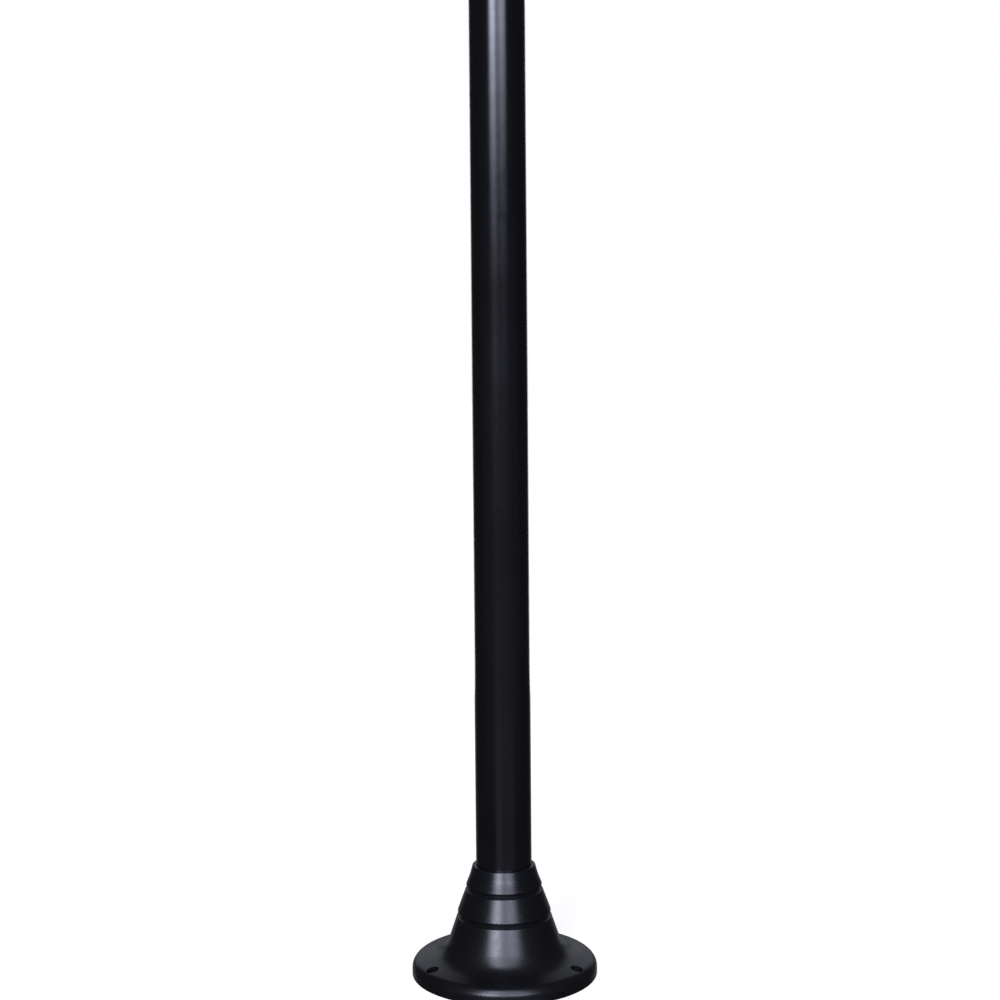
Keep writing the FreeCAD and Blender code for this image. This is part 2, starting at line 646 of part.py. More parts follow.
def motion_stud():
    """Fixed stud with a shoulder that the motion wheel rests on."""
    seat = PLATE_BACK + PLATE_THICKNESS
    stud = rod(STUD_R, PLATE_BACK, MOTION_PINION_FRONT + 2, 0, -GEAR_CENTRES)
    return stud.fuse(rod(5.0, seat, WHEEL_BACK - GAP, 0, -GEAR_CENTRES))


def stud_clip():
    """Open spring clip that keeps the motion wheel on its stud."""
    low = MOTION_PINION_FRONT + GAP
    body = ring(STUD_R, 5.0, low, low + 1.0).cut(block(-1.6, 1.6, 0, 6, low - 1, low + 2))
    body.translate(Vector(0, -GEAR_CENTRES, 0))
    return body


def gear(teeth, low, high, tooth_at):
    """Spur gear with straight-sided teeth; the centre of one tooth points at the angle tooth_at."""
    pitch_r = GEAR_MODULE * teeth / 2
    half_pitch_width = TOOTH_SHARE * math.pi * GEAR_MODULE / 2
    slope = math.tan(math.radians(FLANK_ANGLE))
    root_r, root_width = pitch_r - DEDENDUM, half_pitch_width + DEDENDUM * slope
    tip_r, tip_width = pitch_r + ADDENDUM, half_pitch_width - ADDENDUM * slope
    points = []
    for k in range(teeth):
        angle = math.radians(tooth_at) + 2 * math.pi * k / teeth
        along = Vector(math.cos(angle), math.sin(angle), 0)
        across = Vector(-math.sin(angle), math.cos(angle), 0)
        flanks = ((root_r, -root_width), (tip_r, -tip_width), (tip_r, tip_width), (root_r, root_width))
        points += [along * radius + across * width + OUT * low for radius, width in flanks]
    points.append(points[0])
    return Part.Face(Part.makePolygon(points)).extrude(OUT * (high - low))


def minute_arbor():
    """Arbor with the minute pinion, a thrust collar and a threaded end for the hand nut."""
    shaft = rod(ARBOR_R, 17.0, ARBOR_SHOULDER).fuse(rod(ARBOR_THREAD_R, ARBOR_SHOULDER, ARBOR_END))
    pinion = gear(MINUTE_PINION_TEETH, WHEEL_BACK, WHEEL_BACK + WHEEL_THICKNESS, -90.0)
    collar = rod(5.0, WHEEL_BACK + WHEEL_THICKNESS, HOUR_WHEEL_BACK - GAP)
    return shaft.fuse([pinion, collar]).removeSplitter()


def motion_wheel():
    """Wheel and pinion in one piece; the wheel has a gap, the pinion a tooth towards the arbor."""
    half_tooth = 180.0 / MOTION_WHEEL_TEETH
    wheel = gear(MOTION_WHEEL_TEETH, WHEEL_BACK, WHEEL_BACK + WHEEL_THICKNESS, 90.0 + half_tooth)
    windows = around(rod(4.6, 0, 60, 13.5), 5, 90.0)
    pinion = gear(MOTION_PINION_TEETH, WHEEL_BACK + WHEEL_THICKNESS, MOTION_PINION_FRONT, 90.0)
    body = cut_all(wheel, windows).fuse(pinion).cut(rod(STUD_R + RUNNING, 0, 60)).removeSplitter()
    body.translate(Vector(0, -GEAR_CENTRES, 0))
    return body


def hour_wheel():
    """Hour wheel and pipe, running on the minute arbor; it has a gap towards the motion pinion."""
    half_tooth = 180.0 / HOUR_WHEEL_TEETH
    wheel = gear(HOUR_WHEEL_TEETH, HOUR_WHEEL_BACK, HOUR_WHEEL_BACK + WHEEL_THICKNESS, -90.0 + half_tooth)
    windows = around(rod(4.8, 0, 60, 14.0), 5, 90.0)
    pipe = rod(HOUR_PIPE_R, HOUR_WHEEL_BACK + WHEEL_THICKNESS, HOUR_HAND_BACK + 3)
    return cut_all(wheel, windows).fuse(pipe).cut(rod(ARBOR_R + RUNNING, 0, 80)).removeSplitter()


# ---- hands --------------------------------------------------------------------------------------
def hand(length, low, hub_low, hub_high, hub_r, bore_r, clock_angle):
    """Spade hand: a tapered stem, a leaf-shaped blade with a point, a round boss and a short tail."""
    stem_foot, stem_top = length * 0.036, length * 0.017
    blade_foot, blade_wide, blade_r = length * 0.66, length * 0.76, length * 0.062
    tip_foot, tip_foot_y = stem_top * 0.9, length * 0.9
    tail, tail_wide = length * 0.2, stem_foot * 1.25

    def side(sign):
        stem_end = Vector(sign * stem_top, blade_foot, low)
        tip_start = Vector(sign * tip_foot, tip_foot_y, low)
        bulge = Part.BSplineCurve()
        bulge.interpolate([stem_end, Vector(sign * blade_r, blade_wide, low), tip_start])
        stem = Part.LineSegment(Vector(sign * stem_foot, 0, low), stem_end)
        tip = Part.LineSegment(tip_start, Vector(0, length, low))
        return [stem.toShape(), bulge.toShape(), tip.toShape()]

    corners = [Vector(-stem_foot, 0, low), Vector(-tail_wide, -tail, low), Vector(tail_wide, -tail, low),
               Vector(stem_foot, 0, low)]
    tail_edges = [Part.LineSegment(a, b).toShape() for a, b in zip(corners, corners[1:])]
    wire = Part.Wire(side(1) + side(-1)[::-1] + tail_edges)
    blade = Part.Face(wire).extrude(OUT * HAND_THICKNESS)
    tail_disc = rod(length * 0.05, low, low + HAND_THICKNESS, 0, -tail)
    hub = rod(hub_r, hub_low, hub_high)
    body = blade.fuse([tail_disc, hub]).removeSplitter().cut(rod(bore_r, 0, 100))
    return turn(body, -clock_angle)


def minute_hand():
    return hand(MINUTE_HAND_LENGTH, MINUTE_HAND_BACK, MINUTE_HAND_BACK - 1, ARBOR_SHOULDER, 8.0, ARBOR_R,
                MINUTE_HAND_ANGLE)


def hour_hand():
    return hand(HOUR_HAND_LENGTH, HOUR_HAND_BACK, HOUR_HAND_BACK - 2, HOUR_HAND_BACK + 3, 9.0, HOUR_PIPE_R,
                HOUR_HAND_ANGLE)


def hand_nut():
    """Domed cap nut on the end of the minute arbor."""
    top = ARBOR_SHOULDER + 6.5
    body = turned([(0, ARBOR_SHOULDER), (6.0, ARBOR_SHOULDER, 0.5), (6.0, top, 3.5), (0, top)])
    return body.cut(rod(ARBOR_THREAD_R, ARBOR_SHOULDER - 1, ARBOR_END))


# ---- writing ------------------------------------------------------------------------------------
os.makedirs("parts", exist_ok=True)

write("base_casting", base_casting())
write("post_tube", post_tube())
write("post_foot_plug", post_foot_plug())
write("base_tie_washer", tie_washer())
write("base_tie_bolt", tie_bolt())
write("neck_casting", neck_casting())
write("neck_grub_screws", grub_screws())
write("neck_bolts", neck_bolts())
write("case_saddle", case_saddle())
write("saddle_bolts", saddle_bolts())
write("finial_saddle", finial_saddle())
write("finial_spire", finial_spire())
write("finial_stud", finial_stud())
write("finial_nut", finial_nut())

write("case_shell", in_front(case_shell()))
write("centre_frame", in_front(centre_frame()))
write_both("dial_rings", [dial_ring()])
write_pair("dial", dial())
write_both("dial_screws", dial_screws())
write_both("door_gaskets", [door_gasket()])
write_both("hinge_brackets", [hinge_bracket()])
write_both("hinge_pins", [hinge_pin()])
write_both("hinge_screws", hinge_screws())

write_pair("bezel", bezel())
write_pair("glass", glass())
write_pair("glass_gasket", glass_gasket())
write_pair("glass_clips", glass_clips())
write_pair("clip_screws", clip_screws())
write_pair("latch_handle", latch_handle())
write_pair("latch_cam", latch_cam())

write_pair("movement_box", movement_box())
write_both("batteries", [battery()])
write_pair("movement_plate", movement_plate())
write_both("movement_pillars", movement_pillars())
write_both("movement_screws", movement_screws())
write_both("centre_bushes", [centre_bush()])
write_both("motion_studs", [motion_stud()])
write_both("stud_clips", [stud_clip()])

write_pair("minute_arbor", minute_arbor())
write_pair("motion_wheel", motion_wheel())
write_pair("hour_wheel", hour_wheel())
write_pair("minute_hand", minute_hand())
write_pair("hour_hand", hour_hand())
write_pair("hand_nut", hand_nut())
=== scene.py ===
import json
import math

import bmesh
import bpy
from mathutils import Matrix, Vector


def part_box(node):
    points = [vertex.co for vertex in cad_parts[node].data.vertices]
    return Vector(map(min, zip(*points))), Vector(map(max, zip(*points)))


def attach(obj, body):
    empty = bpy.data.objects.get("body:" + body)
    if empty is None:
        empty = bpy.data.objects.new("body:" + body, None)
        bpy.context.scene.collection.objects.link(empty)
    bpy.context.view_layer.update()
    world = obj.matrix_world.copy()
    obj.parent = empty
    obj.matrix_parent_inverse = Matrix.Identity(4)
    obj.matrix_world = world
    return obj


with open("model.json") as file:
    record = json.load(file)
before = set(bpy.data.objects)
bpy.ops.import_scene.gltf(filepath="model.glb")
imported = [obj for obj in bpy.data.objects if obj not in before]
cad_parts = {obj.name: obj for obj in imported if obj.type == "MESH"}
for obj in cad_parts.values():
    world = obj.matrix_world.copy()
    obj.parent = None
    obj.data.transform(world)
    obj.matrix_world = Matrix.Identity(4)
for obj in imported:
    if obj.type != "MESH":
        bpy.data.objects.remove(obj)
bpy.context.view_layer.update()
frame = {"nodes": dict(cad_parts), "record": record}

MM = 0.001
WHITE = (1.0, 1.0, 1.0, 1.0)
FACES = ("front", "rear")
scene = bpy.context.scene
nodes = frame["nodes"]

# ---- places read from the frame ------------------------------------------------------------------
dial_low, dial_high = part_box("dial_front")
DRUM_Z = (dial_low.z + dial_high.z) / 2
DIAL_OUT = -dial_low.y                       # the dial's printed face, from the drum's centre plane


# ---- node-based materials ------------------------------------------------------------------------
class Nodes:
    """Small helper around one node tree, of a material or the world."""

    def __init__(self, tree):
        self.tree = tree
        tree.nodes.clear()

    def node(self, kind, **settings):
        made = self.tree.nodes.new(kind)
        for key, value in settings.items():
            setattr(made, key, value)
        return made

    def link(self, source, target):
        self.tree.links.new(source, target)

    def maths(self, operation, a, b=0.0):
        """One maths node; a and b are numbers or sockets."""
        made = self.node("ShaderNodeMath", operation=operation)
        for socket, value in zip(made.inputs, (a, b)):
            if isinstance(value, (int, float)):
                socket.default_value = value
            else:
                self.link(value, socket)
        return made.outputs["Value"]

    def times(self, a, b):
        return self.maths("MULTIPLY", a, b)

    def plus(self, a, b):
        return self.maths("ADD", a, b)


class Shader(Nodes):
    """A new material with a principled surface and the textures that the materials share."""

    def __init__(self, name):
        self.material = bpy.data.materials.new(name)
        self.material.use_nodes = True
        super().__init__(self.material.node_tree)
        self.output = self.node("ShaderNodeOutputMaterial")
        self.surface = self.node("ShaderNodeBsdfPrincipled")
        self.link(self.surface.outputs["BSDF"], self.output.inputs["Surface"])
        self.place = self.node("ShaderNodeTexCoord").outputs["Object"]

    def set(self, **values):
        for key, value in values.items():
            self.surface.inputs[key.replace("_", " ")].default_value = value

    def stretched(self, scale):
        """Object coordinates scaled along each axis, in features a metre."""
        mapping = self.node("ShaderNodeMapping")
        mapping.inputs["Scale"].default_value = scale
        self.link(self.place, mapping.inputs["Vector"])
        return mapping.outputs["Vector"]

    def noise(self, scale, detail=3.0, roughness=0.5, vector=None):
        made = self.node("ShaderNodeTexNoise")
        made.inputs["Scale"].default_value = scale
        made.inputs["Detail"].default_value = detail
        made.inputs["Roughness"].default_value = roughness
        self.link(vector or self.place, made.inputs["Vector"])
        return made.outputs["Fac"]

    def cells(self, scale):
        made = self.node("ShaderNodeTexVoronoi")
        made.inputs["Scale"].default_value = scale
        self.link(self.place, made.inputs["Vector"])
        return made.outputs["Distance"]

    def between(self, fac, low, high, to_low, to_high):
        """Maps fac from the range low..high to to_low..to_high, clamped."""
        made = self.node("ShaderNodeMapRange")
        made.inputs["From Min"].default_value = low
        made.inputs["From Max"].default_value = high
        made.inputs["To Min"].default_value = to_low
        made.inputs["To Max"].default_value = to_high
        self.link(fac, made.inputs["Value"])
        return made.outputs["Result"]

    def mix(self, fac, first, second):
        """Colour between two colours; a colour is a tuple or a socket."""
        made = self.node("ShaderNodeMix", data_type="RGBA")
        self.link(fac, made.inputs["Factor"])
        first_colour, second_colour = made.inputs[6:8]
        for socket, value in ((first_colour, first), (second_colour, second)):
            if isinstance(value, tuple):
                socket.default_value = (*value, 1.0)
            else:
                self.link(value, socket)
        mixed_colour = made.outputs[2]
        return mixed_colour

    def colour(self, socket):
        self.link(socket, self.surface.inputs["Base Color"])

    def roughness(self, socket):
        self.link(socket, self.surface.inputs["Roughness"])

    def bump(self, height, depth, below=None):
        """Bump on the surface, over the bump whose normal is below."""
        made = self.node("ShaderNodeBump")
        made.inputs["Distance"].default_value = depth
        made.inputs["Strength"].default_value = 1.0
        self.link(height, made.inputs["Height"])
        if below:
            self.link(below, made.inputs["Normal"])
        self.link(made.outputs["Normal"], self.surface.inputs["Normal"])
        return made.outputs["Normal"]


def black_coat(name, rough, gloss, peel, cast):
    """Black powder coat with dull patches, fine specks and scuffs.

    peel and cast are the depths of its orange peel and of the unevenness below it.
    """
    s = Shader(name)
    s.set(Metallic=0.0, IOR=1.5, Specular_IOR_Level=gloss, Specular_Tint=(0.86, 0.87, 1.0, 1.0))
    patches = s.noise(9.0, 4.0, 0.6)
    specks = s.between(s.noise(900.0, 2.0), 0.70, 0.78, 0.0, 1.0)
    streaks = s.noise(60.0, 5.0, 0.7, s.stretched((1.0, 1.0, 0.16)))
    scuffs = s.between(streaks, 0.66, 0.76, 0.0, 0.22)
    base = s.mix(patches, (0.0035, 0.0035, 0.0042), (0.0062, 0.0062, 0.0075))
    base = s.mix(scuffs, base, (0.020, 0.020, 0.024))
    s.colour(s.mix(specks, base, (0.030, 0.030, 0.036)))
    worn = s.plus(s.between(patches, 0.3, 0.7, rough - 0.03, rough + 0.04), s.times(scuffs, 0.25))
    s.roughness(s.plus(worn, s.between(s.noise(240.0), 0.3, 0.7, -0.02, 0.02)))
    coarse = s.bump(s.noise(38.0, 2.0), cast)
    s.bump(s.noise(420.0, 1.0), peel, below=coarse)
    return s.material


def brushed_metal(name, light, dark, rough, along):
    """Bare metal with fine lines along one of the axes x, y and z, and dull handling marks."""
    s = Shader(name)
    s.set(Metallic=1.0)
    fineness = [8.0 if axis == along else 900.0 for axis in "xyz"]
    lines = s.noise(1.0, 3.0, 0.6, s.stretched(fineness))
    marks = s.noise(45.0, 4.0, 0.6)
    s.colour(s.mix(marks, dark, light))
    s.roughness(s.plus(s.between(lines, 0.3, 0.7, rough - 0.06, rough + 0.06),
                       s.between(marks, 0.4, 0.8, 0.0, 0.08)))
    s.bump(lines, 0.03 * MM)
    return s.material


def zinc_plating():
    """Zinc plating: pale grey with a faint spangle and a yellowish passivated cast."""
    s = Shader("zinc_plate")
    s.set(Metallic=1.0)
    spangle = s.cells(350.0)
    s.colour(s.mix(s.noise(70.0, 4.0), (0.46, 0.46, 0.44), (0.66, 0.65, 0.58)))
    s.roughness(s.between(spangle, 0.0, 0.8, 0.30, 0.46))
    s.bump(s.noise(500.0), 0.02 * MM)
    return s.material


def enamel_dial():
    """Off-white stoved enamel, very slightly uneven in tone and gloss, with a few fine flecks."""
    s = Shader("dial_enamel")
    s.set(IOR=1.5, Coat_Weight=0.35, Coat_Roughness=0.12)
    cloud = s.noise(14.0, 4.0, 0.55)
    flecks = s.between(s.noise(700.0, 2.0), 0.72, 0.80, 0.0, 0.5)
    face = s.mix(cloud, (0.80, 0.775, 0.70), (0.86, 0.845, 0.785))
    s.colour(s.mix(flecks, face, (0.52, 0.48, 0.40)))
    s.roughness(s.between(cloud, 0.3, 0.7, 0.30, 0.40))
    s.bump(s.noise(180.0, 2.0), 0.03 * MM)
    return s.material


def hand_enamel():
    s = Shader("hand_enamel")
    s.set(IOR=1.5)
    patches = s.noise(120.0, 3.0)
    s.colour(s.mix(patches, (0.006, 0.006, 0.007), (0.014, 0.014, 0.016)))
    s.roughness(s.between(patches, 0.3, 0.7, 0.30, 0.42))
    s.bump(s.noise(900.0, 1.0), 0.02 * MM)
    return s.material


def dial_ink():
    s = Shader("dial_ink")
    s.set(IOR=1.45)
    patches = s.noise(260.0, 4.0)
    s.colour(s.mix(patches, (0.010, 0.010, 0.012), (0.022, 0.021, 0.021)))
    s.roughness(s.between(patches, 0.3, 0.7, 0.42, 0.55))
    s.bump(s.noise(1200.0, 1.0), 0.01 * MM)
    return s.material


def clear_glass():
    """Clear pane: faint haze, a weak reflection face-on and a strong one at a glancing angle."""
    s = Shader("door_glass")
    s.tree.nodes.remove(s.surface)
    clear = s.node("ShaderNodeBsdfTransparent")
    clear.inputs["Color"].default_value = (0.975, 0.985, 0.98, 1.0)
    shine = s.node("ShaderNodeBsdfGlossy")
    shine.inputs["Color"].default_value = WHITE
    s.link(s.between(s.noise(22.0, 5.0, 0.6), 0.45, 0.75, 0.015, 0.05), shine.inputs["Roughness"])
    glancing = s.maths("POWER", s.node("ShaderNodeLayerWeight").outputs["Facing"], 5.0)
    blend = s.node("ShaderNodeMixShader")
    share, see_through, reflected = blend.inputs
    s.link(s.between(glancing, 0.0, 1.0, 0.035, 1.0), share)
    s.link(clear.outputs["BSDF"], see_through)
    s.link(shine.outputs["BSDF"], reflected)
    s.link(blend.outputs["Shader"], s.output.inputs["Surface"])
    return s.material


def seal_rubber():
    s = Shader("seal_rubber")
    s.set(IOR=1.45)
    bloom = s.noise(80.0, 4.0, 0.6)
    s.colour(s.mix(bloom, (0.012, 0.012, 0.012), (0.030, 0.030, 0.029)))
    s.roughness(s.between(bloom, 0.3, 0.7, 0.62, 0.78))
    s.bump(s.noise(800.0, 2.0), 0.04 * MM)
    return s.material


def moulded_plastic(name, dark, light, rough):
    s = Shader(name)
    s.set(IOR=1.46)
    cloud = s.noise(50.0, 3.0)
    s.colour(s.mix(cloud, dark, light))
    s.roughness(s.between(s.noise(300.0), 0.3, 0.7, rough - 0.05, rough + 0.06))
    s.bump(s.cells(1500.0), 0.03 * MM)
    return s.material


MATERIALS = {
    "base_black": black_coat("cast_black_coat", 0.28, 0.66, 0.012 * MM, 0.10 * MM),
    "post_black": black_coat("tube_black_coat", 0.18, 0.62, 0.006 * MM, 0.07 * MM),
    "head_black": black_coat("head_black_coat", 0.24, 0.62, 0.005 * MM, 0.03 * MM),
    "zinc_steel": zinc_plating(),
    "stainless": brushed_metal(
        "stainless_steel", (0.62, 0.61, 0.59), (0.48, 0.48, 0.47), 0.28, "x"),
    "dial_white": enamel_dial(),
    "hand_black": hand_enamel(),
    "clear_glass": clear_glass(),
    "seal_rubber": seal_rubber(),
    "gear_brass": brushed_metal("cut_brass", (0.80, 0.58, 0.24), (0.60, 0.42, 0.17), 0.26, "y"),
    "plate_aluminium": brushed_metal(
        "milled_aluminium", (0.74, 0.75, 0.76), (0.60, 0.61, 0.62), 0.34, "x"),
    "box_plastic": moulded_plastic(
        "housing_plastic", (0.020, 0.020, 0.022), (0.035, 0.035, 0.038), 0.45),
    "cell_cover": moulded_plastic(
        "cell_sleeve", (0.020, 0.050, 0.090), (0.030, 0.075, 0.130), 0.30),
}
INK = dial_ink()

for entry in frame["record"]["subparts"]:
    for material_slot in nodes[entry["node"]].material_slots:
        material_slot.material = MATERIALS[entry["material_slot"]]


# ---- mesh helpers --------------------------------------------------------------------------------
def face_matrix(face):
    """From the dial frame (x right, y up, z out of the drum, metres) to the row frame."""
    front = Matrix(((1, 0, 0, 0), (0, 0, -1, 0), (0, 1, 0, DRUM_Z), (0, 0, 0, 1)))
    return front if face == "front" else Matrix.Rotation(math.pi, 4, "Z") @ front


def add_piece(name, mesh, material, body, matrix):
    """New visible piece on a body; the matrix places its mesh."""
    piece = bpy.data.objects.new(name, mesh)
    scene.collection.objects.link(piece)
    mesh.transform(matrix)
    mesh.materials.append(material)
    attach(piece, body)


def mesh_from(build):
    """New mesh filled by build(bm)."""
    bm = bmesh.new()
    build(bm)
    bmesh.ops.recalc_face_normals(bm, faces=bm.faces)
    mesh = bpy.data.meshes.new("piece")
    bm.to_mesh(mesh)
    bm.free()
    return mesh


def add_prism(bm, outline, low, high):
    """Closed prism over a plane outline of (x, y) points."""
    bottom = [bm.verts.new((x, y, low)) for x, y in outline]
    top = [bm.verts.new((x, y, high)) for x, y in outline]
    bm.faces.new(bottom[::-1])
    bm.faces.new(top)
    for i in range(len(outline)):
        j = (i + 1) % len(outline)
        bm.faces.new((bottom[i], bottom[j], top[j], top[i]))


def add_flat_ring(bm, inner, outer, low, high, steps=180):
    """Closed flat ring about the z axis."""
    section = ((inner, low), (outer, low), (outer, high), (inner, high))
    loops = []
    for k in range(steps):
        angle = 2 * math.pi * k / steps
        across, up = math.cos(angle), math.sin(angle)
        loops.append([bm.verts.new((r * across, r * up, z)) for r, z in section])
    for k in range(steps):
        here, ahead = loops[k], loops[(k + 1) % steps]
        for i in range(len(section)):
            j = (i + 1) % len(section)
            bm.faces.new((here[i], ahead[i], ahead[j], here[j]))


# ---- dial printing -------------------------------------------------------------------------------
PRINT_LOW = DIAL_OUT
PRINT_HIGH = DIAL_OUT + 0.35 * MM
NUMERAL_R = 127 * MM
NUMERAL_HEIGHT = 34 * MM
THICK, THIN, SERIF = 5.0 * MM, 1.7 * MM, 1.5 * MM
LEAN = 6.2 * MM                              # from the letter's centre to a slanted stroke's end
WIDE_SERIF = (2.4 * MM, 9.4 * MM)            # from the centre, under or over a thick stroke's end
NARROW_SERIF = (2.9 * MM, 9.0 * MM)          # the same for a thin stroke
ROMAN = ("XII", "I", "II", "III", "IIII", "V", "VI", "VII", "VIII", "IX", "X", "XI")
ADVANCE = {"I": 9.4 * MM, "V": 20.0 * MM, "X": 20.0 * MM}
DIAL_RINGS = (                               # inner and outer radius of each printed circle
    (148.0 * MM, 148.9 * MM), (157.0 * MM, 158.2 * MM),      # the minute track
    (102.0 * MM, 102.9 * MM), (17.0 * MM, 18.0 * MM))
MARK_FOOT, MARK_TOP = 149.1 * MM, 156.8 * MM
HALF_MINUTE_MARK, HALF_HOUR_MARK = 0.55 * MM, 1.9 * MM


def bar(x0, x1, y0, y1):
    return [(x0, y0), (x1, y0), (x1, y1), (x0, y1)]


def slanted(bottom_x, top_x, width):
    half, h = width / 2, NUMERAL_HEIGHT / 2
    return [(bottom_x - half, -h), (bottom_x + half, -h), (top_x + half, h), (top_x - half, h)]


def glyph_strokes(letter):
    """Outlines of a Roman numeral letter's strokes, centred on its own origin."""
    h = NUMERAL_HEIGHT / 2
    foot_serif, top_serif = (-h, -h + SERIF), (h - SERIF, h)
    if letter == "I":
        wide = THICK * 0.85
        return [bar(-THICK / 2, THICK / 2, -h, h), bar(-wide, wide, *foot_serif),
                bar(-wide, wide, *top_serif)]
    foot = 0.0 if letter == "V" else LEAN
    strokes = [slanted(foot, -LEAN, THICK * 1.1), slanted(-foot, LEAN, THIN)]
    (wide_in, wide_out), (narrow_in, narrow_out) = WIDE_SERIF, NARROW_SERIF
    strokes.append(bar(-wide_out, -wide_in, *top_serif))
    strokes.append(bar(narrow_in, narrow_out, *top_serif))
    if letter == "X":
        strokes.append(bar(wide_in, wide_out, *foot_serif))
        strokes.append(bar(-narrow_out, -narrow_in, *foot_serif))
    return strokes


def united_glyph(letter):
    """One clean closed mesh for a letter: its strokes joined by a boolean union."""
    parts = []
    for outline in glyph_strokes(letter):
        mesh = mesh_from(lambda bm, o=outline: add_prism(bm, o, PRINT_LOW, PRINT_HIGH))
        part = bpy.data.objects.new("stroke", mesh)
        scene.collection.objects.link(part)
        parts.append(part)
    body = parts[0]
    for other in parts[1:]:
        union = body.modifiers.new("union", "BOOLEAN")
        union.operation = "UNION"
        union.solver = "EXACT"
        union.object = other
    evaluated = body.evaluated_get(bpy.context.evaluated_depsgraph_get())
    mesh = bpy.data.meshes.new_from_object(evaluated)
    for part in parts:
        bpy.data.objects.remove(part)
    return mesh


GLYPHS = {letter: united_glyph(letter) for letter in ADVANCE}


def numerals_mesh():
    """Twelve Roman numerals set radially, feet towards the centre."""
    bm = bmesh.new()
    for hour, word in enumerate(ROMAN):
        widths = [ADVANCE[letter] for letter in word]
        x = -sum(widths) / 2
        turn = Matrix.Rotation(-hour * math.pi / 6, 4, "Z")
        for letter, width in zip(word, widths):
            glyph = GLYPHS[letter].copy()
            glyph.transform(turn @ Matrix.Translation((x + width / 2, NUMERAL_R, 0)))
            bm.from_mesh(glyph)
            x += width
    mesh = bpy.data.meshes.new("numerals")
    bm.to_mesh(mesh)
    bm.free()
    return mesh


def minute_track(bm):
    """The printed circles, and sixty marks that are wider at each five minutes."""
    for inner, outer in DIAL_RINGS:
        add_flat_ring(bm, inner, outer, PRINT_LOW, PRINT_HIGH)
    for minute in range(60):
        half = HALF_HOUR_MARK if minute % 5 == 0 else HALF_MINUTE_MARK
        turn = Matrix.Rotation(-minute * math.pi / 30, 2)
        mark = [tuple(turn @ Vector(corner)) for corner in bar(-half, half, MARK_FOOT, MARK_TOP)]
        add_prism(bm, mark, PRINT_LOW, PRINT_HIGH)


for face in FACES:
    printed = {"dial_numerals_": numerals_mesh(), "dial_minute_track_": mesh_from(minute_track)}
    for name, mesh in printed.items():
        add_piece(name + face, mesh, INK, "case", face_matrix(face))


# ---- stage ---------------------------------------------------------------------------------------
# Azimuths are measured from the camera's side, positive to its right. All angles are in degrees.
# A patch of light is (middle azimuth, half width, strength). A fade is (elevation where the light
# is nothing, elevation where it is full).
SOFT_BOXES = ((-20.4, 10.3, 1.0), (20.6, 10.4, 0.52), (-3.5, 18.0, 0.34))
BOX_FOOT, BOX_TOP = (8.7, 13.2), (78.0, 58.0)
BOX_BRIGHT = (21.0, 16.5)                    # below this fade the soft boxes are at their brightest
BOX_STRENGTH, BOX_EXTRA = 5.1, 10.0          # everywhere, and what the bright stretch adds
ROOM_IN_FRONT = ((0.0, 76.0, 0.045),)
GROUND_IN_FRONT = ((7.0, 40.0, 0.12), (-18.0, 9.0, 0.14))
WALL_BEHIND = ((180.0, 32.0, 0.38),)
GROUND_BEHIND = ((180.0, 34.0, 0.18),)
GLOWS = (                                    # patches, fade at their foot, fade at their top
    (ROOM_IN_FRONT, (-17.0, -8.0), (12.0, 2.0)),
    (GROUND_IN_FRONT, (-60.0, -20.0), (-7.0, -16.0)),
    (WALL_BEHIND, (0.0, 10.0), (46.0, 30.0)),
    (GROUND_BEHIND, (-75.0, -45.0), (2.0, -6.0)))
PATCH_EDGE = 8.0                             # a patch fades out over twice this
ROOM_LIGHT = 0.039
ROOM_TINT = (0.88, 0.91, 1.0, 1.0)

FLOOR_HALF_SIZE = 40.0
FLOOR_GLOW, FLOOR_GREY = 0.80, (0.5, 0.5, 0.5, 1.0)

HEAD_FOOT_Z = 1.6                            # the head's lights only light what is above this
HEAD_LIGHT_DISTANCE = 2.0
HEAD_LIGHT_SIZE = (0.7, 1.1)
HEAD_LIGHTS = (                              # azimuth, elevation, power in watts
    (150.0, 33.0, 22.0), (-140.0, 33.0, 22.0), (80.0, 33.0, 18.0), (-75.0, 33.0, 18.0),
    (0.0, 86.0, 16.0))
POST_LIGHT_Z = 0.75
POST_LIGHT_DISTANCE = 1.3
POST_LIGHT_SIZE = (1.5, 1.4)
POST_LIGHT_POWER = 11.0


def pale_floor():
    """A white ground that shows a faint shadow and isn't mirrored in the gloss."""
    floor_mesh = mesh_from(
        lambda bm: bmesh.ops.create_grid(bm, x_segments=1, y_segments=1, size=FLOOR_HALF_SIZE))
    floor = bpy.data.objects.new("floor", floor_mesh)
    scene.collection.objects.link(floor)
    s = Shader("pale_floor")
    s.tree.nodes.remove(s.surface)
    glow = s.node("ShaderNodeEmission")
    glow.inputs["Color"].default_value = WHITE
    glow.inputs["Strength"].default_value = FLOOR_GLOW
    matt = s.node("ShaderNodeBsdfDiffuse")
    matt.inputs["Color"].default_value = FLOOR_GREY
    both = s.node("ShaderNodeAddShader")
    s.link(glow.outputs["Emission"], both.inputs[0])
    s.link(matt.outputs["BSDF"], both.inputs[1])
    s.link(both.outputs["Shader"], s.output.inputs["Surface"])
    floor_mesh.materials.append(s.material)
    floor.visible_glossy = False
    floor.visible_diffuse = False


